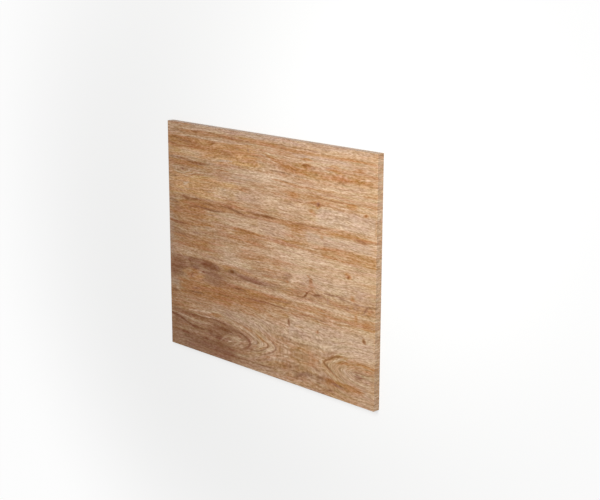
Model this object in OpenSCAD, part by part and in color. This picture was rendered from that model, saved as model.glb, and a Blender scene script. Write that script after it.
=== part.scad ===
// Bath end panel: one flat board that closes the short end of a bath, between
// the floor and the underside of the bath's rim.
// It lies flat with its printed face up. X runs along the board's width, with
// +X at the edge that meets the front panel. Y runs up the board's height, with
// +Y at the edge under the rim. The back face lies on z = 0, with the origin at
// its centre.

/* [Board] */
// Width, from the wall to the front panel
panel_width = 680; // [400:1:900]
// Height, from the floor to the underside of the rim
panel_height = 560; // [350:1:750]
// Thickness of the board
panel_thickness = 18; // [12:0.5:30]

/* [Edges] */
// Radius of the arris round the printed face
face_arris = 1.2; // [0.4:0.1:5]
// Radius of the arris round the back face
back_arris = 0.4; // [0.2:0.1:3]
// Radius of the four corners, seen from the front
corner_radius = 1; // [0.5:0.5:10]

/* [Hidden] */

// Overlap past the board of the shapes that trim it
clear_cut = 1;
$fn = 48;

// The outline seen from the front, centred, with its four corners rounded
module face_outline() {
    square([panel_width - 2 * corner_radius, panel_height], center = true);
    square([panel_width, panel_height - 2 * corner_radius], center = true);
    for (side = [-1, 1], end = [-1, 1])
        translate([side * (panel_width / 2 - corner_radius), end * (panel_height / 2 - corner_radius)])
            circle(r = corner_radius);
}

// The section across a span of the board: the back lies on y = 0 and the
// printed face at the board's thickness, with both arrises rounded
module board_section(span) {
    straight = panel_thickness - face_arris - back_arris;
    translate([-span / 2, back_arris])
        square([span, straight]);
    translate([-span / 2 + face_arris, panel_thickness - 2 * face_arris])
        square([span - 2 * face_arris, 2 * face_arris]);
    translate([-span / 2 + back_arris, 0])
        square([span - 2 * back_arris, 2 * back_arris]);
    for (side = [-1, 1]) {
        translate([side * (span / 2 - face_arris), panel_thickness - face_arris])
            circle(r = face_arris);
        translate([side * (span / 2 - back_arris), back_arris])
            circle(r = back_arris);
    }
}

// A section drawn across the width, run the whole height of the board
module across_width() {
    rotate([90, 0, 0])
        linear_extrude(height = panel_height + 2 * clear_cut, center = true)
            board_section(panel_width);
}

// A section drawn across the height, run the whole width of the board
module across_height() {
    rotate([90, 0, 90])
        linear_extrude(height = panel_width + 2 * clear_cut, center = true)
            board_section(panel_height);
}

// The board: the rounded outline, with the arrises run along all four edges
// so that they meet in a mitre at each corner
module end_panel() {
    color("burlywood")
        intersection() {
            linear_extrude(height = panel_thickness)
                face_outline();
            across_width();
            across_height();
        }
}

end_panel();
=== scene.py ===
import math

import bpy
import numpy as np
from mathutils import Matrix, Vector


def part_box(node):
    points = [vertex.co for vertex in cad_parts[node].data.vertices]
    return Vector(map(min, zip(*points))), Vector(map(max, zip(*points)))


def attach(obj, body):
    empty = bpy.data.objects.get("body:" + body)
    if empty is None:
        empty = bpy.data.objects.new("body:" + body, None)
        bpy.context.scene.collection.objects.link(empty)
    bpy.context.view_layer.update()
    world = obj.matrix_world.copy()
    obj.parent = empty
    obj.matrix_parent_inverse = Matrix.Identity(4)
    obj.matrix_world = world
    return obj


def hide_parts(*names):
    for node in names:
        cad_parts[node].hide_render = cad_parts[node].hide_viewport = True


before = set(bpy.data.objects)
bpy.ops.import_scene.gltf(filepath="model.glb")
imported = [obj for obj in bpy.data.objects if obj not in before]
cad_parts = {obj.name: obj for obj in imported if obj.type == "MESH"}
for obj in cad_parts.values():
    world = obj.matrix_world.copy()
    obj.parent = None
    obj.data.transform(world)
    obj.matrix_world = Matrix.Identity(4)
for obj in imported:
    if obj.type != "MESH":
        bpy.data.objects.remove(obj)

bl_info = {
    "name": "Bath End Panel",
    "version": (1, 0, 0),
    "blender": (4, 5, 0),
    "location": "View3D > Sidebar > End Panel",
    "description": "Builds a bath end panel wrapped in oak-printed foil, and a plain stage for it",
    "category": "Object",
}

# The board lies flat with its printed face up. X runs along the grain, with +X at the
# edge that meets the front panel, and Y runs across it, with +Y at the edge under the rim.
NODE = "end_panel"
BODY = "root"
MM = 0.001
LOW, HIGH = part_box(NODE)
SIZE = HIGH - LOW
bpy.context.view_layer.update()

# The steps of the mesh that round each arris, and its rows through the board's thickness
CLOSE_ROWS = 3
ROWS_DEEP = 9


def linear(hex_colour):
    """The linear RGBA colour of an sRGB hex value."""
    channels = [int(hex_colour[place:place + 2], 16) / 255 for place in (1, 3, 5)]
    return (*(c / 12.92 if c <= 0.04045 else ((c + 0.055) / 1.055) ** 2.4 for c in channels), 1.0)


def add_node(tree, kind, inputs=None, **settings):
    """Adds a node with its settings. Each input is given by its name or place, as a value or as the
    socket to link it to."""
    made = tree.nodes.new(kind)
    for name, value in settings.items():
        setattr(made, name, value)
    for key, value in (inputs or {}).items():
        if isinstance(key, int):
            socket = made.inputs[key]
        else:
            socket = next(s for s in made.inputs if s.name == key and s.enabled)
        if isinstance(value, bpy.types.NodeSocket):
            tree.links.new(value, socket)
        else:
            socket.default_value = value
    return made


def new_material(name):
    """An empty node material, and its output node."""
    material = bpy.data.materials.new(name)
    material.use_nodes = True
    material.node_tree.nodes.clear()
    output = add_node(material.node_tree, "ShaderNodeOutputMaterial")
    return material, output


def length(name, description, default):
    """A length property in metres."""
    return bpy.props.FloatProperty(name=name, description=description, default=default, min=0.0,
                                   precision=4, unit="LENGTH")


def colour(name, description, hex_colour):
    """A colour property, whose default is an sRGB hex value."""
    return bpy.props.FloatVectorProperty(name=name, description=description, subtype="COLOR",
                                         size=4, min=0.0, max=1.0, default=linear(hex_colour))


class BoardSizes(bpy.types.PropertyGroup):
    width: length("Width", "Width of the board, from the wall to the front panel", SIZE.x)
    height: length("Height", "Height of the board, from the floor to the rim", SIZE.y)
    thickness: length("Thickness", "Thickness of the board", SIZE.z)
    face_arris: length("Face arris", "Radius of the arris round the printed face", 1.2 * MM)
    back_arris: length("Back arris", "Radius of the arris round the back face", 0.4 * MM)
    pitch_along: length("Pitch along", "Spacing of the mesh along the grain", 3.6 * MM)
    pitch_across: length("Pitch across", "Spacing of the mesh across the grain", 1.45 * MM)


class FoilColours(bpy.types.PropertyGroup):
    ground: colour("Ground", "The foil's ground, between the figures", "#BA926D")
    honey: colour("Honey", "Golden wood", "#CC9B67")
    straw: colour("Straw", "Pale yellow wood", "#D0B294")
    # Ash also carries a painted pale, grey cast by the middle of the left edge.
    ash_and_sheen: colour("Ash", "Pale wood with a grey-pink cast", "#BDA08A")
    ochre: colour("Ochre", "Orange-brown wood", "#AE7746")
    rosy: colour("Rosy", "Red-brown wood", "#976C52")
    # Umber also carries painted shade, darker towards the left edge and the lower left corner.
    umber_and_shade: colour("Umber", "The darkest streaks and the pin knots", "#7E481F")
    cream: colour("Cream", "The pale lines that lie on top", "#D0B090")
    pore: colour("Pore", "The thin dark growth lines and the short pores", "#80502A")
    melamine: colour("Melamine", "The white sheet on the board's back", "#E9E8E4")


class StageLook(bpy.types.PropertyGroup):
    floor: colour("Floor", "Colour of the floor", "#F2F2F0")
    lamp_power: bpy.props.FloatProperty(
        name="Lamp power", description="Power of the soft lamp", default=12.55, min=0.0, unit="POWER")
    sky_level: bpy.props.FloatProperty(
        name="Sky level", description="Level of the even light from all round", default=0.30,
        min=0.0, max=2.0, subtype="FACTOR")


# The print, in millimetres from the middle of the printed face. Its figures are drawn in the
# pigments below, each laid over the foil's ground as soft fields, long streaks and small spots.
# Some umber fields are painted shade, and one ash field is a painted pale cast, as marked below.
# A streak that reaches an end of the print runs off it, and any other thins out at its ends.
PRINT_END = round(SIZE.x / MM / 2)
# Streaks and spots have faded to exp(-FADE) of their strength, about half, at their half width
FADE = 0.69

# The two arched figures: the line they close about, how far it is pushed up there, and how blunt
# their tips are
ARCH_AXIS = -208.0
ARCH_RISE = 34.0
ARCH_BLUNT = 8.0
# Where the grain bows down: how far, x where that starts, x where it is full, y, half height
BOWS = ((12, -205, -130, 228, 24), (8, -100, 80, -20, 40), (12, -310, -90, 152, 28),
        (7, -320, -120, 65, 22))
# Knots that the grain bends round: x, y, half length, half width and how far it is pushed aside
KNOTS = (
    (-283, 168, 26, 11, 5), (-264, 130, 22, 11, 4),
    (170, 149, 16, 9, 3), (309, 145, 14, 7, 2.5),
    (265, 5, 18, 9, 4), (147, -27, 14, 10, 3),
    (82, -36, 18, 9, 3), (-107, -54, 24, 10, 4),
    (-248, -72, 28, 14, 5), (77, -137, 10, 12, 2),
    (312, -129, 12, 7, 2.5),
)

# Soft-edged fields: strength, x from, x to, y from, y to, softness along, softness across
FIELDS = {
    "honey": (
        (0.7, -345, -80, 104, 162, 50, 12), (0.65, -345, -20, 200, 250, 50, 10),
        (0.3, -345, -150, 40, 100, 50, 10),
    ),
    "straw": (
        (0.45, -300, -205, 206, 221, 22, 6), (0.3, 170, 345, 200, 282, 40, 10),
        (0.4, -60, 340, 184, 197, 60, 5), (0.5, -125, 75, 171, 196, 45, 7), (0.3, 60, 340, 168, 180, 40, 6),
        (0.4, -200, 150, 106, 148, 60, 12), (0.35, -30, 180, 4, 46, 50, 10),
        (0.5, 166, 340, 103, 146, 8, 6), (0.45, -165, -25, 56, 81, 36, 6), (0.35, -10, 75, 56, 92, 26, 10),
        (0.4, 132, 186, 54, 88, 10, 8), (0.4, 186, 340, 62, 84, 14, 6), (0.4, 60, 340, -44, 32, 50, 8),
        (0.55, -155, -80, -44, 6, 34, 10), (0.35, -330, -170, -43, -27, 35, 6),
        (0.3, -60, 60, -100, -72, 40, 6), (0.45, 40, 290, -83, -74, 40, 3),
        (0.5, 76, 340, -180, -116, 8, 8), (0.45, -140, 60, -176, -150, 50, 7),
        (0.3, 205, 340, -236, -196, 20, 8), (0.35, 215, 340, -280, -254, 25, 5),
    ),
    "ash_and_sheen": (
        (0.5, -262, 340, 269, 282, 25, 4), (0.45, 90, 260, 245, 252, 20, 3),
        (0.35, -170, -35, 154, 172, 30, 6), (0.4, -190, 0, 110, 143, 60, 12),
        (0.5, 168, 340, 104, 145, 10, 6), (0.35, 100, 345, 196, 262, 50, 12), (0.4, -30, 70, 50, 90, 22, 9),
        # The field from x -345 to -322, by the middle of the left edge, is a painted pale grey cast of the
        # light, not print.
        (0.5, -345, -322, -60, 60, 8, 20), (0.5, 132, 330, 60, 84, 14, 6), (0.4, 100, 340, -45, -10, 40, 8),
        (0.5, -345, -302, -128, -102, 8, 6), (0.4, -260, 90, -180, -146, 30, 8),
        (0.4, 80, 340, -175, -118, 10, 10), (0.4, 235, 340, -262, -204, 20, 8),
        (0.35, -345, -250, -282, -240, 25, 8), (0.3, -120, 40, -280, -250, 30, 8),
    ),
    "ochre": (
        (0.6, -300, 60, 256, 267, 30, 4), (0.6, 60, 345, 253, 262, 20, 4),
        (0.6, -345, -215, 230, 249, 30, 4), (0.4, -345, -110, 220, 233, 35, 5),
        (0.45, -215, -10, 208, 246, 30, 9), (0.55, 60, 340, 204, 222, 40, 6),
        (0.35, 20, 340, 208, 238, 40, 8), (0.75, -345, -205, 176, 193, 40, 5),
        (0.35, 95, 240, 195, 201, 25, 3), (0.45, 60, 292, 154, 167, 20, 5),
        (0.45, -135, -55, 100, 120, 22, 7), (0.65, -298, -100, 84, 103, 20, 4),
        (0.45, -100, 200, 86, 102, 30, 4), (0.45, 76, 131, 66, 97, 16, 6), (0.45, 200, 345, 87, 99, 25, 4),
        (0.65, -330, -195, 46, 90, 20, 10), (0.5, 181, 345, 34, 60, 8, 5), (0.4, -160, 181, 38, 52, 25, 4),
        (0.5, -315, -255, 20, 40, 20, 6), (0.35, -255, 10, 18, 34, 30, 6),
        (0.6, -320, -185, -26, 14, 30, 9), (0.3, -190, 60, -18, 8, 30, 7),
        (0.65, -160, 110, -101, -84, 60, 4), (0.3, 110, 345, -101, -84, 40, 4),
        (0.75, -300, -110, -142, -104, 22, 7), (0.5, -110, 0, -142, -104, 40, 7),
        (0.5, -345, -175, -200, -140, 40, 8), (0.3, -345, 0, -122, -44, 40, 8),
        (0.35, -180, 74, -131, -104, 14, 6), (0.4, 76, 215, -118, -103, 6, 5),
        (0.22, 60, 200, -234, -202, 30, 8), (0.7, 176, 308, -254, -238, 16, 3),
        (0.4, 180, 305, -282, -252, 25, 6),
    ),
    "rosy": (
        (0.45, -314, -160, -76, -45, 16, 6), (0.4, -345, -282, -101, -74, 14, 8),
        (0.35, -205, -150, -101, -70, 14, 8), (0.35, -200, -60, -101, -52, 30, 8),
        (0.35, -90, 90, -72, -50, 40, 7), (0.3, -100, 110, -48, -28, 40, 7),
        (0.3, 94, 345, -74, -49, 16, 6), (0.55, -298, -110, -282, -238, 20, 5),
        (0.3, -110, 215, -282, -238, 25, 7), (0.3, -345, -150, -234, -180, 30, 8),
        (0.4, -180, -20, -236, -186, 30, 9), (0.25, -345, -200, 4, 40, 30, 8),
    ),
    "umber_and_shade": (
        (0.3, -265, -160, -62, -46, 20, 4), (0.38, -345, -275, -101, -48, 18, 8),
        (0.15, -275, -205, -101, -60, 12, 8), (0.35, -215, -120, -101, -48, 18, 8),
        # The second field here darkens the lower left corner: partly the print's dark figure, partly
        # painted shade.
        (0.3, -298, -140, -252, -236, 15, 4), (0.42, -345, -80, -282, -180, 60, 12),
        (0.18, -100, 90, -282, -228, 50, 10), (0.12, -110, 75, -140, -50, 30, 8),
        # The first field here darkens the left edge over most of its height: painted shade.
        (0.28, -345, -300, -280, 120, 22, 40), (0.1, 170, 345, 200, 268, 40, 10),
        (0.2, -298, -150, 90, 103, 15, 4),
    ),
    "cream": (),
}

# Streaks: strength, half width, then x and y of each point that the streak runs through
STREAKS = {
    "honey": (),
    "straw": (),
    "ash_and_sheen": (
        (0.9, 2.4, -165, 203, -140, 206, -105, 208), (0.6, 2, -110, 173, 0, 174),
        (0.7, 4, -44, -209, -30, -211, -26, -218), (0.6, 2.2, -250, -108, -220, -104, -190, -104),
    ),
    "ochre": (
        (0.6, 2.4, -105, 247, -60, 246), (0.5, 2.4, -125, 236, -95, 240, -60, 244),
        (0.6, 2.4, -345, 228, -300, 224, -250, 226, -200, 225), (0.8, 2.6, 118, 242, 136, 244, 158, 243),
        (0.7, 3, 195, 229, 215, 230, 245, 226), (0.6, 2.6, 203, 237, 218, 239, 236, 236),
        (0.6, 3, 255, 220, 310, 222), (0.5, 3, 300, 232, 345, 230),
        (0.7, 1.6, -290, 151, -262, 153, -236, 162, -200, 165), (0.6, 3, -172, 180, -115, 183),
        (0.7, 1.6, 25, 186, 70, 183, 112, 183), (0.5, 2, 110, 181, 170, 180, 230, 182),
        (0.6, 2.2, 298, 185, 345, 188), (0.7, 2.6, -108, 149, -75, 147, -45, 142),
        (0.5, 2.6, -60, 117, 0, 116), (0.6, 2, 200, 91, 275, 91), (0.7, 2, 38, 50, 118, 51),
        (0.6, 2.6, 78, 54, 122, 53), (0.8, 3.4, -120, 53, -90, 52, -55, 52, -15, 50),
        (0.8, 3, -345, 38, -310, 34, -280, 36, -240, 37, -205, 43, -165, 42),
        (0.5, 2.6, -130, 26, -90, 28, -50, 28, 10, 26), (0.6, 3, -150, -46, -120, -43, -92, -41),
        (0.5, 3, 165, -86, 190, -87), (0.7, 3.2, 300, -104, 345, -101),
        (0.7, 3.4, -300, -137, -250, -130, -200, -126, -150, -120, -90, -116),
        (0.7, 2.6, -296, -122, -245, -117, -200, -111, -140, -106),
        (0.8, 2.4, -202, -179, -180, -173, -152, -169), (0.7, 2, -176, -178, -160, -173, -140, -172),
        (0.6, 2.6, -120, -174, -75, -180, -35, -188), (0.8, 3.2, -36, -188, -18, -195, -3, -204),
        (0.6, 3, -42, -224, -22, -215), (0.6, 1.8, 10, -188, 38, -200, 48, -210, 22, -224),
        (0.7, 2.6, 262, -178, 230, -181, 206, -191, 189, -203, 198, -213, 220, -224, 248, -235),
        (0.9, 3.2, 225, -197, 250, -192, 282, -190), (0.9, 2.6, 275, -187, 300, -184, 345, -187),
        (0.6, 2, 312, -193, 345, -190), (0.5, 2, 60, -187, 95, -191, 142, -186),
        (0.6, 2.6, 150, -206, 178, -206), (0.6, 2.6, 92, -141, 130, -140),
        (0.6, 3, -8, 241, 24, 232, 64, 222, 110, 216), (0.5, 2.4, 296, 157, 328, 158),
        (0.8, 4, -345, 241, -290, 242, -235, 239),
    ),
    "rosy": (
        (0.6, 2.2, 144, 232, 154, 228, 162, 224), (0.6, 2, 20, 206, 70, 205, 115, 202),
        (0.5, 2, -345, 143, -300, 149), (0.6, 3, -120, 97, -90, 93, -60, 88, -10, 90),
        (0.7, 2.2, -256, 18, -228, 18), (0.7, 2.6, 178, -48, 215, -45, 262, -50),
        (0.5, 2, 262, -50, 345, -48), (0.7, 4.4, -160, -52, -180, -58, -196, -64),
        (0.7, 5, -97, -56, -60, -64, -15, -65, 45, -60), (0.6, 3, 150, -58, 184, -54),
        (0.7, 3, 318, -50, 312, -60, 310, -70), (0.6, 2, 197, -52, 198, -70),
        (0.6, 2.6, -262, -123, -222, -116), (0.5, 5, -275, -135, -248, -132, -218, -129),
        (0.5, 2, 170, -173, 100, -183), (0.7, 1.8, 0, -198, 9, -207, -3, -220, -28, -232),
        (0.5, 3.6, -150, -201, -118, -199, -85, -199, -60, -207, -47, -217, -56, -229, -80, -240),
        (0.7, 2.2, 14, -190, 30, -200, 37, -209, 28, -218, 6, -230), (0.6, 4, 205, -248, 262, -250),
        (0.6, 4, 96, -262, 118, -250, 140, -241), (0.6, 3, 195, -268, 222, -264),
        (0.6, 5, -262, -256, -180, -258, -100, -262),
    ),
    "umber_and_shade": (
        (0.6, 2.4, -252, 265, -222, 264), (0.5, 2.2, -165, 263, -130, 262), (0.5, 2.6, -122, 262, -98, 262),
        (0.55, 2.4, -92, 260, -68, 260), (0.6, 2.4, -66, 259, -42, 258),
        (0.6, 1.5, 10, 265, 60, 266, 120, 265, 178, 263), (0.6, 2, 48, 260, 80, 259),
        (0.6, 3, -326, 243, -300, 242, -285, 240), (0.5, 2.4, -290, 238, -250, 237),
        (0.5, 1.8, -345, 231, -318, 229, -296, 226), (0.5, 1.8, -184, 238, -170, 245, -160, 251),
        (0.75, 3.2, 114, 228, 128, 230, 144, 231), (0.5, 2.2, -345, 196, -300, 195, -268, 192, -250, 190),
        (0.65, 3.6, -268, 190, -240, 188, -208, 188, -190, 191), (0.5, 1.8, 155, 166, 200, 163, 258, 162),
        (0.6, 3.4, -296, 104, -282, 100, -268, 96, -254, 96), (0.6, 2, -254, 96, -240, 100, -222, 103),
        (0.6, 2.4, -266, 78, -235, 83, -200, 83, -165, 82, -135, 87),
        (0.5, 2.8, -206, 84, -180, 83, -162, 83), (0.5, 2.4, -216, 93, -190, 95, -170, 92),
        (0.7, 3.4, -150, 97, -120, 97, -95, 92, -60, 88), (0.7, 4, -58, 98, -20, 97, 20, 97, 50, 97),
        (0.5, 2.6, -8, 96, 22, 96), (0.6, 2.4, 96, 98, 150, 97, 205, 98),
        (0.5, 1.8, -345, 88, -325, 88, -308, 84), (0.6, 3.6, 276, 90, 296, 88, 308, 86, 322, 84),
        (0.5, 2.2, -105, 53, -60, 52, -25, 50), (0.5, 2, -338, 38, -300, 34, -270, 35),
        (0.6, 1.3, -325, 9, -300, 8, -264, 3), (0.7, 1.8, -276, -46, -246, -46, -215, -46, -180, -47),
        (0.85, 4.4, -222, -55, -206, -54, -186, -51), (0.5, 3, -195, -58, -180, -60, -165, -60),
        (0.5, 2.6, -268, -50, -262, -60, -250, -70, -238, -72),
        (0.6, 3.4, -332, -79, -305, -78, -285, -76, -270, -72), (0.6, 1.8, -218, -75, -205, -75),
        (0.5, 2.2, -260, -96, -252, -82), (0.5, 3.4, -98, -57, -62, -64, -25, -65, 2, -62),
        (1, 2, 118, -69, 130, -63, 144, -50), (0.6, 2.6, 146, -58, 164, -55, 184, -52),
        (0.7, 2.2, -108, -93, -85, -91, -60, -92), (0.45, 2.4, -20, -96, 95, -90),
        (0.55, 2, -60, -107, 0, -106, 73, -107), (0.6, 2, 108, -111, 150, -108, 205, -112),
        (0.5, 2.4, -296, -137, -262, -132, -235, -131, -205, -127),
        (0.5, 2, -180, -122, -140, -118, -100, -117),
        (0.6, 1.8, -300, -191, -250, -191, -210, -189, -180, -184, -150, -189, -130, -193),
        (0.6, 3, -170, -203, -140, -203, -112, -204),
        (0.65, 2, -345, -200, -318, -204, -290, -210, -262, -217, -225, -219, -195, -215),
        (0.5, 2.8, -262, -218, -230, -219), (0.5, 2.6, -172, -198, -150, -203, -120, -201),
        (0.55, 2.4, -120, -197, -85, -199, -62, -206, -48, -216, -54, -227, -76, -237),
        (0.6, 2.6, -66, -204, -50, -214, -50, -222),
        (0.5, 1.4, -105, -207, -80, -209, -74, -218, -90, -230),
        (0.6, 1.5, -172, -216, -150, -222, -146, -228), (0.5, 1.8, -62, -231, -25, -230, 8, -216),
        (0.55, 1.6, 12, -190, 28, -200, 37, -208, 28, -216, 5, -229, -14, -235),
        (0.75, 2.2, 250, -179, 222, -184, 200, -195, 189, -204, 198, -212, 222, -223, 240, -231),
        (0.5, 2.4, 188, -206, 200, -213, 214, -220), (0.8, 1.3, 272, -207, 284, -204, 300, -204, 330, -203),
        (0.7, 1.3, 294, -214, 310, -211, 326, -212), (0.5, 1.3, 276, -216, 300, -223, 330, -219),
        (0.5, 2, 95, -236, 113, -230), (0.6, 2.4, 146, -222, 180, -230), (0.6, 2.8, -298, -240, -270, -241),
        (0.6, 2.6, -222, -239, -198, -240), (0.6, 3.2, -172, -241, -148, -243),
        (0.6, 2, -140, -242, -115, -249, -98, -249), (0.6, 1.8, -184, -263, -160, -263),
        (0.5, 1.8, -150, -263, -90, -262, 42, -260), (0.6, 2.2, 118, -253, 138, -252),
        (0.6, 2.4, 160, -255, 188, -256),
    ),
    "cream": (
        (0.6, 2, -300, 269, -200, 270, -110, 271),
        (0.9, 2, -290, 250, -250, 253, -200, 250, -140, 251, -60, 252),
        (0.5, 2, 60, 252, 130, 251, 230, 248), (0.6, 2.4, -190, 200, -160, 204, -130, 206),
        (0.6, 1.8, -18, 240, 10, 232, 28, 226, 60, 221), (0.9, 1.4, 112, 226, 118, 232, 130, 236, 150, 239),
        (0.8, 1.6, 150, 240, 166, 236, 184, 228, 204, 223), (0.9, 2, 60, 186, 110, 187, 180, 186, 262, 189),
        (0.9, 2, -322, 176, -314, 165, -298, 160, -280, 159, -266, 167, -240, 178),
        (0.6, 1.4, -284, 152, -258, 158, -238, 166, -190, 170), (0.9, 1.6, -290, 142, -276, 136, -262, 140),
        (0.8, 1.5, -280, 124, -266, 121, -252, 124), (0.6, 2, -165, 76, -130, 81, -90, 82, -40, 74),
        (0.8, 2.4, -10, 31, 60, 34, 160, 34), (0.7, 3, -150, -36, -110, -33, -60, -26),
        (0.6, 1.6, -70, -68, -20, -70, 35, -64), (0.7, 1.8, -268, -181, -225, -174, -160, -165),
        (0.8, 1.5, -262, -184, -220, -186, -160, -182, -130, -184),
        (1, 1.6, -115, -182, -75, -186, -45, -195, -18, -208),
        (0.5, 3, -345, -196, -300, -200, -240, -203, -176, -200),
        (0.7, 3.6, -2, -204, -12, -210, -24, -218), (0.7, 3.6, 27, -206, 16, -214, 2, -228),
        (0.6, 2, 47, -210, 28, -223, 10, -231, 80, -233), (0.6, 2, -148, -228, -136, -220, -124, -215),
        (0.6, 2.6, -133, -234, -120, -227, -106, -220), (0.6, 2, -110, -236, -98, -229, -86, -220),
        (0.6, 1.6, -110, -206, -96, -208, -88, -214),
        (0.9, 1.5, 205, -201, 220, -192, 240, -185, 264, -186),
        (0.7, 1.3, 192, -192, 212, -182, 240, -175, 285, -171), (0.6, 1.5, 200, -221, 225, -230, 258, -239),
        (0.6, 1.5, 60, -178, 160, -177), (0.6, 1.5, 262, -221, 282, -227, 340, -234),
        (0.7, 1.3, 280, 216, 305, 220, 340, 224), (0.5, 2.2, -158, -236, -146, -228, -136, -221),
        (0.5, 2.4, -250, -177, -222, -173, -196, -169),
    ),
}

# Spots, such as pin knots and flecks: strength, x, y, half length, half width, turn in degrees
SPOTS = {
    "honey": (
        (0.9, -230, -91, 20, 7, 15), (0.6, -286, -84, 9, 5, 0),
    ),
    "straw": (),
    "ash_and_sheen": (
        (0.8, -90, 238, 7, 3, 0), (0.5, -172, -226, 10, 5, 0), (0.5, -20, 275, 60, 5, 0),
    ),
    "ochre": (
        (0.6, -28, 211, 14, 6, 0), (0.6, 288, 237, 15, 5, 0), (0.6, 92, 158, 14, 9, 0),
        (0.7, 272, 158, 13, 6, 0), (0.6, 150, 131, 10, 5, 0), (0.5, 150, 152, 12, 3, 0),
        (0.9, 263, 6, 12, 6.5, -15), (0.9, 147, -27, 6, 7.5, 0), (0.6, 138, -16, 6, 3, -30),
        (0.6, 150, -41, 12, 4, 0), (0.8, 272, -42, 8, 5.5, 0), (0.7, 326, -62, 8, 7, 0),
        (0.6, 288, -80, 5, 18, 0), (0.6, 318, -92, 13, 9, 0), (0.5, 170, -137, 4, 7, 0),
        (0.8, 72, -42, 7, 3.5, 0), (0.6, 180, 79, 6, 4, 0), (0.6, 170, 144, 6, 6, 0),
        (0.9, -246, -78, 13, 9, 20), (0.8, -264, -92, 14, 6, -30), (0.4, -222, -96, 24, 5, 0),
        (0.5, -300, -52, 10, 6, 0), (0.5, -172, -70, 12, 6, 0), (0.6, -122, -49, 13, 4, 8),
        (0.8, 309, 146, 8, 4, 10), (0.85, 130, 230, 15, 6, 0), (0.6, 300, 87, 22, 5, -6),
        (0.9, 170, 149, 6, 8, -25), (0.9, 312, -129, 5, 6, 0), (0.6, -246, -132, 24, 5, 4),
        (0.7, -184, 243, 18, 6, 18), (0.6, 246, -246, 50, 5, -2),
    ),
    "rosy": (
        (0.7, -53, 240, 3, 5, 0), (0.7, 193, 66, 8, 2.6, 12), (0.5, -34, 66, 9, 3, 0),
        (0.6, 147, -27, 4.5, 5, 0), (0.6, 72, -26, 13, 5, 0), (0.5, 122, -40, 9, 4, 0),
        (0.6, -243, -66, 14, 7, 0), (0.7, -172, -57, 13, 6, 0), (0.8, -108, -55, 14, 7, 0),
        (0.6, 258, -66, 6, 4, 0), (0.5, 282, -60, 8, 4, 0), (0.6, 77, -137, 5.5, 11, 14),
        (0.85, 292, -213, 12, 6, 0), (0.6, -248, -219, 12, 4, 0), (0.6, -188, -222, 9, 5, 0),
        (0.5, -158, -228, 9, 5, 0), (0.6, 180, -242, 14, 8, 0), (0.5, 140, -244, 14, 5, 0),
        (0.8, 312, -129, 4, 5, 0), (0.7, 170, 149, 4.5, 6.5, -25),
    ),
    "umber_and_shade": (
        (0.45, 97, 215, 8, 2.4, 0), (0.8, -284, 170, 6, 3, -10), (0.5, -304, 165, 8, 2.2, 8),
        (0.6, -252, 131, 2.6, 5, 0), (0.45, 170, 149, 4, 6, -25), (0.5, 309, 146, 5, 2.4, 15),
        (0.5, -262, 77, 7, 2.4, 15), (0.9, 263, 4.5, 3.6, 3, 0), (0.9, -108, -54, 5, 4.6, 0),
        (0.5, -111, -54, 11, 5, 0), (0.5, 28, -71, 9, 2.4, 0), (0.5, 330, -56, 5, 2.2, 0),
        (0.6, 313, -57, 2.2, 8, -20), (0.75, 77, -136, 3.2, 8.5, 14), (0.6, 171, -137, 2.2, 6, -8),
        (0.45, 312, -129, 3, 4, 0), (0.6, -322, -138, 12, 4, 0), (0.5, -301, -119, 1.6, 9, 0),
        (0.7, -187, -218, 8, 4.5, 0), (0.6, -159, -228, 9, 5, 0), (0.7, 150, -242, 2.6, 5, 0),
        (0.5, 266, -104, 3, 3.6, 0), (0.5, 210, -266, 12, 3.4, 10), (0.5, -330, -203, 16, 3, -6),
        (0.5, -262, -53, 10, 5, 0), (0.5, -214, -75, 8, 2.6, 0),
    ),
    "cream": (
        (0.5, -235, 212, 16, 5, 0), (1, 285, 183, 4, 1.8, 15), (0.9, -272, 134, 9, 4, 20),
        (1, 89, -35, 12, 6, 20), (0.7, -110, -30, 24, 10, 0), (0.8, 68, -161, 7, 10, 0),
        (0.6, 68, -142, 4, 10, 0), (0.6, 174, -121, 6, 6, 0), (0.6, 318, -120, 7, 8, 0),
        (0.9, 179, -205, 4.5, 5, 0), (0.7, -310, -133, 8, 4, 0), (0.6, 42, -236, 14, 3, 0),
        (0.7, -38, -212, 8, 6, 0), (0.6, -98, -217, 22, 6, 0), (0.6, -8, -212, 10, 6, 30),
        (0.6, 19, -213, 7, 8, -30), (0.5, 62, 123, 14, 12, 0),
    ),
}


def ramp(value, start, end):
    """0 before start and 1 after end, turning smoothly between them."""
    share = np.clip((value - start) / (end - start), 0, 1)
    return share * share * (3 - 2 * share)


def smooth_noise(x, y, seed):
    """Even noise from -1 to 1 with one bump to each unit of x and y."""
    rng = np.random.default_rng(seed)
    grid = rng.uniform(-1, 1, (256, 256))
    column = np.floor(x).astype(int)
    row = np.floor(y).astype(int)
    across = ramp(x - column, 0, 1)
    up = ramp(y - row, 0, 1)
    near = grid[row % 256, column % 256] * (1 - across) + grid[row % 256, (column + 1) % 256] * across
    far = grid[(row + 1) % 256, column % 256] * (1 - across)
    far = far + grid[(row + 1) % 256, (column + 1) % 256] * across
    return near * (1 - up) + far * up


def smooth_path(points, step=4.0):
    """A curve through the points, which turns evenly at each, as points about a step apart."""
    padded = np.vstack([2 * points[0] - points[1], points, 2 * points[-1] - points[-2]])
    path = []
    for before, start, end, after in zip(padded, padded[1:], padded[2:], padded[3:]):
        count = max(2, int(np.linalg.norm(end - start) / step))
        t = (np.arange(count) / count)[:, None]
        path.append(0.5 * (2 * start + (end - before) * t
                           + (2 * before - 5 * start + 4 * end - after) * t ** 2
                           + (3 * start - before - 3 * end + after) * t ** 3))
    return np.vstack([*path, points[-1:]])


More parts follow.
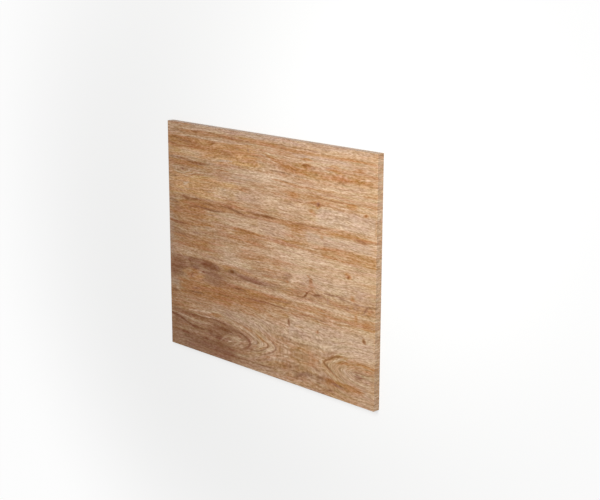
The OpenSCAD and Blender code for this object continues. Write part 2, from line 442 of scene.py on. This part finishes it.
def streak_weight(x, y, half_width, points):
    """How strongly a streak along these points covers each place, thinning out at its ends."""
    path = smooth_path(points)
    nearest = np.full(x.shape, np.inf)
    run = np.zeros(x.shape)
    done = 0.0
    for start, end in zip(path, path[1:]):
        side = end - start
        reach = np.linalg.norm(side)
        share = np.clip(((x - start[0]) * side[0] + (y - start[1]) * side[1]) / reach ** 2, 0, 1)
        distance = np.hypot(x - start[0] - share * side[0], y - start[1] - share * side[1])
        closer = distance < nearest
        nearest = np.where(closer, distance, nearest)
        run = np.where(closer, done + share * reach, run)
        done += reach
    taper = np.ones(x.shape)
    fade = min(10 * half_width, 0.4 * done)
    for end, reach in ((points[0], run), (points[-1], done - run)):
        if abs(end[0]) < PRINT_END:
            taper *= ramp(reach, -0.4 * fade, fade)
    width = half_width * (0.45 + 0.55 * taper)
    return (0.4 + 0.6 * taper) * np.exp(-FADE * (nearest / width) ** 2)


def field_weight(x, y, x_from, x_to, y_from, y_to, soft_along, soft_across):
    """How strongly a field with soft edges covers each place."""
    along = ramp(x, x_from - soft_along, x_from + soft_along)
    along = along * (1 - ramp(x, x_to - soft_along, x_to + soft_along))
    across = ramp(y, y_from - soft_across, y_from + soft_across)
    return along * across * (1 - ramp(y, y_to - soft_across, y_to + soft_across))


def spot_weight(x, y, middle_x, middle_y, half_length, half_width, turn):
    """How strongly an oval spot covers each place."""
    cosine, sine = math.cos(math.radians(turn)), math.sin(math.radians(turn))
    along = ((x - middle_x) * cosine + (y - middle_y) * sine) / half_length
    across = ((y - middle_y) * cosine - (x - middle_x) * sine) / half_width
    return np.exp(-FADE * (along ** 2 + across ** 2) ** 1.5)


def pigment(name, x, y):
    """The print's weight of one pigment, from 0 to 1, at each place in millimetres."""
    bare = np.ones(x.shape)
    for strength, *edges in FIELDS[name]:
        bare *= 1 - strength * field_weight(x, y, *edges)
    for strength, half_width, *run in STREAKS[name]:
        points = np.reshape(run, (-1, 2)).astype(float)
        low = points.min(0) - 4 * half_width - 3
        high = points.max(0) + 4 * half_width + 3
        near = (x > low[0]) & (x < high[0]) & (y > low[1]) & (y < high[1])
        bare[near] *= 1 - strength * streak_weight(x[near], y[near], half_width, points)
    for strength, middle_x, middle_y, *shape in SPOTS[name]:
        near = np.hypot(x - middle_x, y - middle_y) < 4 * max(shape[:2])
        bare[near] *= 1 - strength * spot_weight(x[near], y[near], middle_x, middle_y, *shape)
    return 1 - bare


def ring_line(x, y):
    """Millimetres across the grain, counted along the growth rings, so that what is drawn against it
    closes in the two arched figures near the lower edge and bends round the knots."""
    off_axis = y - ARCH_AXIS
    tips = ramp(x, -130, 50) * (1 - ramp(x, 185, 300))
    line = np.hypot(off_axis, ARCH_BLUNT * tips) + ARCH_RISE * tips * np.exp(-(off_axis / 50) ** 2)
    for bow, x_start, x_full, middle_y, half_height in BOWS:
        line -= bow * ramp(x, x_start, x_full) * np.exp(-((y - middle_y) / half_height) ** 2)
    for knot_x, knot_y, half_length, half_width, push in KNOTS:
        aside, above = (x - knot_x) / half_length, (y - knot_y) / half_width
        line -= push * np.tanh(3 * above) * np.exp(-aside ** 2 - above ** 2)
    wave = 3.0 * smooth_noise(x / 120, y / 45, 11) + 0.9 * smooth_noise(x / 28, y / 11, 12)
    return line + wave


def board_shape_tree():
    """Geometry Nodes for the board: a box with close rows at its edges, rounded over the arrises, with
    one plain face across the back."""
    tree = bpy.data.node_groups.new("Board shape", "GeometryNodeTree")
    sockets = tree.interface
    for name in ("Size", "Rows"):
        sockets.new_socket(name, in_out="INPUT", socket_type="NodeSocketVector")
    for name in ("Face arris", "Back arris"):
        sockets.new_socket(name, in_out="INPUT", socket_type="NodeSocketFloat")
    for name in ("Foil", "Melamine"):
        sockets.new_socket(name, in_out="INPUT", socket_type="NodeSocketMaterial")
    sockets.new_socket("Geometry", in_out="OUTPUT", socket_type="NodeSocketGeometry")
    given = add_node(tree, "NodeGroupInput").outputs

    # A box from -1 to 1 each way, with the number of rows asked for
    rows = add_node(tree, "ShaderNodeSeparateXYZ", {0: given["Rows"]})
    box = add_node(tree, "GeometryNodeMeshCube", {
        "Size": (2, 2, 2), "Vertices X": rows.outputs["X"], "Vertices Y": rows.outputs["Y"],
        "Vertices Z": rows.outputs["Z"]})
    place = add_node(tree, "GeometryNodeInputPosition").outputs[0]

    # Each row's distance in from the edge: a few close rows in the arris, then even ones
    half = add_node(tree, "ShaderNodeVectorMath", {0: given["Size"], 1: (0.5, 0.5, 0.5)},
                    operation="MULTIPLY").outputs[0]
    last = add_node(tree, "ShaderNodeVectorMath", {0: given["Rows"], 1: (1, 1, 1)},
                    operation="SUBTRACT").outputs[0]
    steps = add_node(tree, "ShaderNodeVectorMath", {0: last, 1: (0.5, 0.5, 0.5)},
                     operation="MULTIPLY").outputs[0]
    size = add_node(tree, "ShaderNodeVectorMath", {0: place}, operation="ABSOLUTE").outputs[0]
    inward = add_node(tree, "ShaderNodeVectorMath", {0: (1, 1, 1), 1: size},
                      operation="SUBTRACT").outputs[0]
    row = add_node(tree, "ShaderNodeVectorMath", {0: inward, 1: steps}, operation="MULTIPLY").outputs[0]
    close = add_node(tree, "ShaderNodeVectorMath", {0: row, 1: (CLOSE_ROWS,) * 3},
                     operation="MINIMUM").outputs[0]
    far = add_node(tree, "ShaderNodeVectorMath", {0: row, 1: close}, operation="SUBTRACT").outputs[0]
    far_steps = add_node(tree, "ShaderNodeVectorMath", {0: steps, 1: (CLOSE_ROWS,) * 3},
                         operation="SUBTRACT").outputs[0]
    flat = add_node(tree, "ShaderNodeVectorMath", {0: half, 1: given["Face arris"]},
                    operation="SUBTRACT").outputs[0]
    pitch = add_node(tree, "ShaderNodeVectorMath", {0: flat, 1: far_steps},
                     operation="DIVIDE").outputs[0]
    near_share = add_node(tree, "ShaderNodeVectorMath", {0: close, 1: (1 / CLOSE_ROWS,) * 3},
                          operation="MULTIPLY").outputs[0]
    near_reach = add_node(tree, "ShaderNodeVectorMath", {0: near_share, 1: given["Face arris"]},
                          operation="MULTIPLY").outputs[0]
    reach = add_node(tree, "ShaderNodeVectorMath", {0: far, 1: pitch, 2: near_reach},
                     operation="MULTIPLY_ADD").outputs[0]
    out = add_node(tree, "ShaderNodeVectorMath", {0: half, 1: reach}, operation="SUBTRACT").outputs[0]
    side = add_node(tree, "ShaderNodeVectorMath", {0: place}, operation="SIGN").outputs[0]
    square = add_node(tree, "ShaderNodeVectorMath", {0: out, 1: side}, operation="MULTIPLY").outputs[0]

    # Rounding: the face arris on the upper half, easing to the back arris
    depth = add_node(tree, "ShaderNodeSeparateXYZ", {0: place}).outputs["Z"]
    radius = add_node(tree, "ShaderNodeMapRange", {
        "Value": depth, "From Min": -1.0, "From Max": 1.0, "To Min": given["Back arris"],
        "To Max": given["Face arris"]}).outputs[0]
    inner = add_node(tree, "ShaderNodeVectorMath", {0: half, 1: radius}, operation="SUBTRACT").outputs[0]
    least = add_node(tree, "ShaderNodeVectorMath", {0: out, 1: inner}, operation="MINIMUM").outputs[0]
    core = add_node(tree, "ShaderNodeVectorMath", {0: least, 1: side}, operation="MULTIPLY").outputs[0]
    over = add_node(tree, "ShaderNodeVectorMath", {0: square, 1: core}, operation="SUBTRACT").outputs[0]
    lean = add_node(tree, "ShaderNodeVectorMath", {0: over}, operation="NORMALIZE").outputs[0]
    rounded = add_node(tree, "ShaderNodeVectorMath", {0: lean, 1: radius, 2: core},
                       operation="MULTIPLY_ADD").outputs[0]
    lift = add_node(tree, "ShaderNodeSeparateXYZ", {0: half}).outputs["Z"]
    raised = add_node(tree, "ShaderNodeCombineXYZ", {2: lift}).outputs[0]
    standing = add_node(tree, "ShaderNodeVectorMath", {0: rounded, 1: raised}, operation="ADD").outputs[0]
    board = add_node(tree, "GeometryNodeSetPosition", {
        "Geometry": box.outputs["Mesh"], "Position": standing}).outputs[0]

    # The back's many small faces give way to one face across their outline
    facing = add_node(tree, "GeometryNodeInputNormal").outputs[0]
    down = add_node(tree, "ShaderNodeSeparateXYZ", {0: facing}).outputs["Z"]
    is_back = add_node(tree, "FunctionNodeCompare", {"A": down, "B": -0.999},
                       operation="LESS_THAN").outputs[0]
    open_board = add_node(tree, "GeometryNodeDeleteGeometry", {"Geometry": board, "Selection": is_back},
                          domain="FACE", mode="ALL").outputs[0]
    faces_met = add_node(tree, "GeometryNodeInputMeshEdgeNeighbors").outputs[0]
    is_rim = add_node(tree, "FunctionNodeCompare", {"A": faces_met, "B": 1}, data_type="INT",
                      operation="EQUAL").outputs[0]
    rim = add_node(tree, "GeometryNodeMeshToCurve", {"Mesh": open_board, "Selection": is_rim}).outputs[0]
    back = add_node(tree, "GeometryNodeFillCurve", {"Curve": rim}).outputs[0]
    back = add_node(tree, "GeometryNodeFlipFaces", {"Mesh": back}).outputs[0]
    joined = add_node(tree, "GeometryNodeJoinGeometry")
    tree.links.new(open_board, joined.inputs[0])
    tree.links.new(back, joined.inputs[0])
    closed = add_node(tree, "GeometryNodeMergeByDistance", {
        "Geometry": joined.outputs[0], "Distance": 0.01 * MM}).outputs[0]

    # Only the arrises are shaded round, and only the back is without foil
    tilt = add_node(tree, "ShaderNodeVectorMath", {0: facing}, operation="ABSOLUTE").outputs[0]
    spread = add_node(tree, "ShaderNodeVectorMath", {0: tilt, 1: (1, 1, 1)},
                      operation="DOT_PRODUCT").outputs["Value"]
    is_arris = add_node(tree, "FunctionNodeCompare", {"A": spread, "B": 1.001},
                        operation="GREATER_THAN").outputs[0]
    plain = add_node(tree, "GeometryNodeSetShadeSmooth", {
        "Geometry": closed, "Shade Smooth": False}).outputs[0]
    shaded = add_node(tree, "GeometryNodeSetShadeSmooth", {
        "Geometry": plain, "Selection": is_arris, "Shade Smooth": True}).outputs[0]
    real = add_node(tree, "GeometryNodeRealizeInstances", {"Geometry": shaded}).outputs[0]
    wrapped = add_node(tree, "GeometryNodeSetMaterial", {
        "Geometry": real, "Material": given["Foil"]}).outputs[0]
    backed = add_node(tree, "GeometryNodeSetMaterial", {
        "Geometry": wrapped, "Selection": is_back, "Material": given["Melamine"]}).outputs[0]
    add_node(tree, "NodeGroupOutput", {"Geometry": backed})
    return tree


def oak_foil(look):
    """Oak-printed PVC foil, pressed on the board and wrapped round its edges.

    The print is gravure, so its grain is flat ink in a few browns under a satin coat, and the coat's
    faint emboss runs with the grain. The figures come from the mesh's attributes; the fibres, the
    mottle and the pores between them are noise, stretched along the grain."""
    material, output = new_material("oak_printed_foil")
    tree = material.node_tree
    along = add_node(tree, "ShaderNodeAttribute", attribute_name="along").outputs["Fac"]
    ring = add_node(tree, "ShaderNodeAttribute", attribute_name="ring").outputs["Fac"]
    place = add_node(tree, "ShaderNodeCombineXYZ", {0: along, 1: ring}).outputs[0]

    def grain(length_mm, width_mm, seed, detail=2.0, low=0.32, high=0.68, turn=(0, 0, 0)):
        """Noise from 0 to 1, in streaks of this length and width. The turn, in radians, is that of
        the noise's own grid, which shows as a weave in short streaks that lie along it."""
        stretched = add_node(tree, "ShaderNodeMapping", {
            "Vector": place, "Location": (seed * 3.7, seed * 5.3, seed), "Rotation": turn,
            "Scale": (1 / length_mm, 1 / width_mm, 1)}).outputs[0]
        noise = add_node(tree, "ShaderNodeTexNoise", {
            "Vector": stretched, "Scale": 1.0, "Detail": detail, "Roughness": 0.6}).outputs["Fac"]
        return add_node(tree, "ShaderNodeMapRange", {
            "Value": noise, "From Min": low, "From Max": high}).outputs[0]

    # Real fibres are under 1 mm wide. These are 2 mm and more, so that they show at arm's length
    band = grain(170, 14, 1)
    fibre = grain(70, 4.5, 2)
    strand = grain(80, 5.5, 9)
    fine_fibre = grain(45, 2.4, 3, detail=1.0)
    flake = grain(26, 8, 4, detail=3.0)
    fleck = grain(9, 2.3, 7, detail=1.0, turn=(0.6, 0.5, 0.7))

    # The bare ground drifts between pale and warm wood
    drift = -0.58
    for pattern, amount in ((band, 0.40), (fibre, 0.40), (flake, 0.36)):
        drift = add_node(tree, "ShaderNodeMath", {0: pattern, 1: amount, 2: drift},
                         operation="MULTIPLY_ADD").outputs[0]
    warm = add_node(tree, "ShaderNodeMapRange", {
        "Value": drift, "From Min": 0.0, "From Max": 0.35, "To Max": 0.6}).outputs[0]
    pale = add_node(tree, "ShaderNodeMapRange", {
        "Value": drift, "From Min": 0.05, "From Max": -0.35, "To Max": 0.6}).outputs[0]
    tint = add_node(tree, "ShaderNodeMix", {
        "Factor": warm, "A": look.ground, "B": look.ochre}, data_type="RGBA").outputs["Result"]
    tint = add_node(tree, "ShaderNodeMix", {
        "Factor": pale, "A": tint, "B": look.straw}, data_type="RGBA").outputs["Result"]

    # Each pigment lies on more and more of the fibres as its weight from the mesh grows
    for name, pattern, softness, most in (
            ("honey", fibre, 1.6, 0.95), ("straw", fibre, 1.3, 0.95), ("ash_and_sheen", flake, 1.5, 0.9),
            ("ochre", strand, 1.5, 0.95), ("rosy", strand, 1.4, 0.95), ("umber_and_shade", fine_fibre, 1.7, 0.95),
            ("cream", fine_fibre, 1.9, 0.9)):
        weight = add_node(tree, "ShaderNodeAttribute", attribute_name=name).outputs["Fac"]
        reach = add_node(tree, "ShaderNodeMath", {0: weight, 1: 1 / softness + 1, 2: -1 / softness},
                         operation="MULTIPLY_ADD").outputs[0]
        share = add_node(tree, "ShaderNodeMath", {0: pattern, 1: 1 / softness, 2: reach},
                         operation="MULTIPLY_ADD", use_clamp=True).outputs[0]
        share = add_node(tree, "ShaderNodeMath", {0: share, 1: most}, operation="MULTIPLY").outputs[0]
        tint = add_node(tree, "ShaderNodeMix", {
            "Factor": share, "A": tint, "B": getattr(look, name)}, data_type="RGBA").outputs["Result"]

    # Fibres lighten and darken the ink all over, and the dark ones are the more strongly coloured.
    # Thin dark lines run with the growth rings, and short pores lie between them
    glow = 0.62
    for pattern, amount in ((fine_fibre, 0.32), (fleck, 0.50)):
        glow = add_node(tree, "ShaderNodeMath", {0: pattern, 1: amount, 2: glow},
                        operation="MULTIPLY_ADD").outputs[0]
    strength = add_node(tree, "ShaderNodeMath", {0: glow, 1: -0.4, 2: 1.41},
                        operation="MULTIPLY_ADD").outputs[0]
    # Between x = 60 and 340 mm the hue shifts a little along the board: a painted change in the light's
    # tint, not print.
    lean = add_node(tree, "ShaderNodeMapRange", {
        "Value": along, "From Min": 60.0, "From Max": 340.0, "To Min": 0.4893,
        "To Max": 0.4933}).outputs[0]
    cloud = grain(90, 9, 10, detail=4.0)
    cast = add_node(tree, "ShaderNodeMath", {0: cloud, 1: 0.020, 2: lean},
                    operation="MULTIPLY_ADD").outputs[0]
    tint = add_node(tree, "ShaderNodeHueSaturation", {
        "Color": tint, "Hue": cast, "Saturation": strength, "Value": glow}).outputs[0]
    rings = grain(210, 7, 8, detail=1.0, low=0.40, high=0.60)
    on_ring = add_node(tree, "ShaderNodeMath", {0: rings, 1: 0.5, 2: 0.16},
                       operation="COMPARE").outputs[0]
    pores = grain(9, 1.6, 5, detail=1.0, low=0.60, high=0.72)
    dark_share = 0.0
    for mark, amount in ((on_ring, 0.22), (pores, 0.35)):
        dark_share = add_node(tree, "ShaderNodeMath", {0: mark, 1: amount, 2: dark_share},
                              operation="MULTIPLY_ADD").outputs[0]
    tint = add_node(tree, "ShaderNodeMix", {
        "Factor": dark_share, "A": tint, "B": look.pore}, data_type="RGBA").outputs["Result"]

    emboss = add_node(tree, "ShaderNodeBump", {
        "Height": fine_fibre, "Strength": 0.12, "Distance": 0.1 * MM}).outputs[0]
    satin = add_node(tree, "ShaderNodeMath", {0: fibre, 1: 0.08, 2: 0.38},
                     operation="MULTIPLY_ADD").outputs[0]
    coat = add_node(tree, "ShaderNodeBsdfPrincipled", {
        "Base Color": tint, "Roughness": satin, "IOR": 1.5, "Normal": emboss}).outputs[0]
    tree.links.new(coat, output.inputs["Surface"])
    return material


def white_melamine(look):
    """Melamine-faced back sheet: smooth hard resin, white, with the faint peel of its press plate."""
    material, output = new_material("white_melamine")
    tree = material.node_tree
    place = add_node(tree, "ShaderNodeTexCoord").outputs["Object"]
    peel = add_node(tree, "ShaderNodeTexNoise", {
        "Vector": place, "Scale": 1 / (3 * MM), "Detail": 2.0}).outputs["Fac"]
    smudge = add_node(tree, "ShaderNodeTexNoise", {
        "Vector": place, "Scale": 1 / (90 * MM), "Detail": 3.0}).outputs["Fac"]
    dust = add_node(tree, "ShaderNodeMapRange", {
        "Value": smudge, "From Min": 0.35, "From Max": 0.7, "To Min": 0.97, "To Max": 1.0}).outputs[0]
    tint = add_node(tree, "ShaderNodeHueSaturation", {"Color": look.melamine, "Value": dust}).outputs[0]
    gloss = add_node(tree, "ShaderNodeMapRange", {
        "Value": smudge, "From Min": 0.3, "From Max": 0.7, "To Min": 0.36, "To Max": 0.46}).outputs[0]
    relief = add_node(tree, "ShaderNodeBump", {
        "Height": peel, "Strength": 0.08, "Distance": 0.1 * MM}).outputs[0]
    resin = add_node(tree, "ShaderNodeBsdfPrincipled", {
        "Base Color": tint, "Roughness": gloss, "IOR": 1.5, "Normal": relief}).outputs[0]
    tree.links.new(resin, output.inputs["Surface"])
    return material


def studio_floor(look):
    """Matt pale studio floor. Seen by the camera it is mostly its own even white, and further out
    almost wholly, so that the board's shadow stays soft and the far floor meets the white sky."""
    material, output = new_material("studio_floor")
    tree = material.node_tree
    matt = add_node(tree, "ShaderNodeBsdfDiffuse", {"Color": look.floor}).outputs[0]
    white = add_node(tree, "ShaderNodeEmission", {"Color": (1, 1, 1, 1), "Strength": 1.0}).outputs[0]
    path = add_node(tree, "ShaderNodeLightPath").outputs
    seen = add_node(tree, "ShaderNodeMath", {0: path["Is Camera Ray"], 1: path["Is Glossy Ray"]},
                    operation="MAXIMUM").outputs[0]
    seen = add_node(tree, "ShaderNodeMath", {0: seen, 1: path["Is Transmission Ray"]},
                    operation="MAXIMUM").outputs[0]
    place = add_node(tree, "ShaderNodeTexCoord").outputs["Object"]
    distance = add_node(tree, "ShaderNodeVectorMath", {0: place}, operation="LENGTH").outputs["Value"]
    whiteness = add_node(tree, "ShaderNodeMapRange", {
        "Value": distance, "From Min": 0.4, "From Max": 1.3, "To Min": 0.68, "To Max": 0.97},
        interpolation_type="SMOOTHSTEP").outputs[0]
    share = add_node(tree, "ShaderNodeMath", {0: seen, 1: whiteness}, operation="MULTIPLY").outputs[0]
    ground = add_node(tree, "ShaderNodeMixShader", {0: share, 1: matt, 2: white}).outputs[0]
    tree.links.new(ground, output.inputs["Surface"])
    return material


def plain_mesh(name, tree, values):
    """The plain mesh that a Geometry Nodes tree makes with these named inputs, as a new object."""
    made = bpy.data.objects.new(name, bpy.data.meshes.new(name))
    bpy.context.scene.collection.objects.link(made)
    made.data.materials.append(values["Foil"])
    shape = made.modifiers.new("Shape", "NODES")
    shape.node_group = tree
    for item in tree.interface.items_tree:
        if item.in_out == "INPUT":
            shape[item.identifier] = values[item.name]
    evaluated = made.evaluated_get(bpy.context.evaluated_depsgraph_get())
    result = bpy.data.meshes.new_from_object(evaluated)
    made.modifiers.clear()
    made.data = result
    result.name = name
    return made


def odd_rows(span, pitch):
    """An odd number of mesh rows across a span, so that one lies on its middle."""
    return 2 * round(span / pitch / 2) + 1


def unrolled(mesh):
    """Where the foil lies at each vertex, in millimetres from the middle of the printed face. Past the
    face's edge the foil has turned down the side."""
    places = np.empty(len(mesh.vertices) * 3)
    mesh.vertices.foreach_get("co", places)
    x, y, z = places.reshape(-1, 3).T / MM
    drop = z.max() - z
    past_x = np.where(np.abs(x) > x.max() - 0.5, drop, 0)
    past_y = np.where(np.abs(y) > y.max() - 0.5, drop, 0)
    return x + np.sign(x) * past_x, y + np.sign(y) * past_y


def print_foil(mesh):
    """Writes the print's pigments and its grain line onto the mesh, one value for each vertex."""
    x, y = unrolled(mesh)
    waved_x = x + 5 * smooth_noise(x / 60, y / 25, 21)
    waved_y = y + 1.2 * smooth_noise(x / 45, y / 16, 22) + 0.5 * smooth_noise(x / 15, y / 7, 23)
    values = {"along": x, "ring": ring_line(x, y)}
    for name in FIELDS:
        values[name] = pigment(name, waved_x, waved_y)
    for name, value in values.items():
        layer = mesh.attributes.new(name, "FLOAT", "POINT")
        layer.data.foreach_set("value", value.astype(np.float32))


class MakeBoard(bpy.types.Operator):
    """Makes the board, with its printed foil and its white back"""
    bl_idname = "end_panel.make_board"
    bl_label = "Make Board"

    def execute(self, context):
        sizes = context.scene.board_sizes
        look = context.scene.foil_colours
        rows = (odd_rows(sizes.width, sizes.pitch_along), odd_rows(sizes.height, sizes.pitch_across),
                ROWS_DEEP)
        board = plain_mesh("printed_board", board_shape_tree(), {
            "Size": (sizes.width, sizes.height, sizes.thickness), "Rows": [float(n) for n in rows],
            "Face arris": sizes.face_arris, "Back arris": sizes.back_arris,
            "Foil": oak_foil(look), "Melamine": white_melamine(look)})
        if len(board.data.vertices) < rows[0] * rows[1]:
            raise RuntimeError("The board's mesh came out with too few rows.")
        print_foil(board.data)
        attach(board, BODY)
        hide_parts(NODE)
        return {"FINISHED"}


# The camera and the soft lamp, in metres from the middle of the printed face. The lens is in
# millimetres, and the floor reaches far past what any view shows
CAMERA_EYE = Vector((2.0463, 0.7094, 1.9208))
CAMERA_TARGET = Vector((0.1146, 0.0384, 0.0))
CAMERA_ROLL = math.radians(0.2)
CAMERA_LENS = 76.2
LAMP_PLACE = Vector((0.585, 0.405, 0.94))
LAMP_WIDTH = 0.6
FLOOR_REACH = 30.0


def aim(place, target, up):
    """The matrix that stands a camera or lamp at a place, looking at a target, with up upwards."""
    back = (place - target).normalized()
    right = up.cross(back).normalized()
    turned = Matrix((right, back.cross(right), back)).transposed().to_4x4()
    return Matrix.Translation(place) @ turned


class MakeStage(bpy.types.Operator):
    """Makes the floor, the soft lamp, the even sky and the camera"""
    bl_idname = "end_panel.make_stage"
    bl_label = "Make Stage"

    def execute(self, context):
        scene = context.scene
        look = scene.stage_look
        face = Vector((0, 0, HIGH.z))

        sheet = bpy.data.meshes.new("floor")
        corners = [(x * FLOOR_REACH, y * FLOOR_REACH, LOW.z)
                   for x, y in ((-1, -1), (1, -1), (1, 1), (-1, 1))]
        sheet.from_pydata(corners, [], [(0, 1, 2, 3)])
        sheet.materials.append(studio_floor(look))
        floor = bpy.data.objects.new("floor", sheet)
        scene.collection.objects.link(floor)

        lamp_data = bpy.data.lights.new("soft_lamp", "AREA")
        lamp_data.shape = "SQUARE"
        lamp_data.size = LAMP_WIDTH
        lamp_data.energy = look.lamp_power
        lamp = bpy.data.objects.new("soft_lamp", lamp_data)
        lamp.matrix_world = aim(face + LAMP_PLACE, face, Vector((0, 1, 0)))
        scene.collection.objects.link(lamp)

        world = bpy.data.worlds.new("even_sky")
        world.use_nodes = True
        tree = world.node_tree
        tree.nodes.clear()
        path = add_node(tree, "ShaderNodeLightPath").outputs
        level = add_node(tree, "ShaderNodeMapRange", {
            "Value": path["Is Camera Ray"], "To Min": look.sky_level, "To Max": 1.0}).outputs[0]
        sky = add_node(tree, "ShaderNodeBackground", {"Color": (1, 1, 1, 1), "Strength": level}).outputs[0]
        add_node(tree, "ShaderNodeOutputWorld", {"Surface": sky})
        scene.world = world

        camera_data = bpy.data.cameras.new("camera")
        camera_data.lens = CAMERA_LENS
        camera = bpy.data.objects.new("camera", camera_data)
        level_view = aim(face + CAMERA_EYE, face + CAMERA_TARGET, Vector((0, 1, 0)))
        camera.matrix_world = level_view @ Matrix.Rotation(CAMERA_ROLL, 4, "Z")
        scene.collection.objects.link(camera)
        scene.camera = camera
        scene.view_settings.view_transform = "Standard"
        return {"FINISHED"}


class EndPanelTools(bpy.types.Panel):
    """Sizes, colours and buttons for the bath end panel"""
    bl_idname = "VIEW3D_PT_end_panel"
    bl_label = "Bath End Panel"
    bl_space_type = "VIEW_3D"
    bl_region_type = "UI"
    bl_category = "End Panel"

    def draw(self, context):
        layout = self.layout
        for name in SETTINGS:
            settings = getattr(context.scene, name)
            box = layout.box()
            for key in settings.bl_rna.properties.keys():
                if key not in ("rna_type", "name"):
                    box.prop(settings, key)
        for operator in (MakeBoard, MakeStage):
            layout.operator(operator.bl_idname)


SETTINGS = {"board_sizes": BoardSizes, "foil_colours": FoilColours, "stage_look": StageLook}
CLASSES = (*SETTINGS.values(), MakeBoard, MakeStage, EndPanelTools)


def register():
    for kind in CLASSES:
        bpy.utils.register_class(kind)
    for name, kind in SETTINGS.items():
        setattr(bpy.types.Scene, name, bpy.props.PointerProperty(type=kind))


def unregister():
    for name in SETTINGS:
        delattr(bpy.types.Scene, name)
    for kind in reversed(CLASSES):
        bpy.utils.unregister_class(kind)


def main():
    """Makes the stage and the board."""
    register()
    bpy.ops.end_panel.make_stage()
    bpy.ops.end_panel.make_board()


if __name__ == "__main__":
    main()
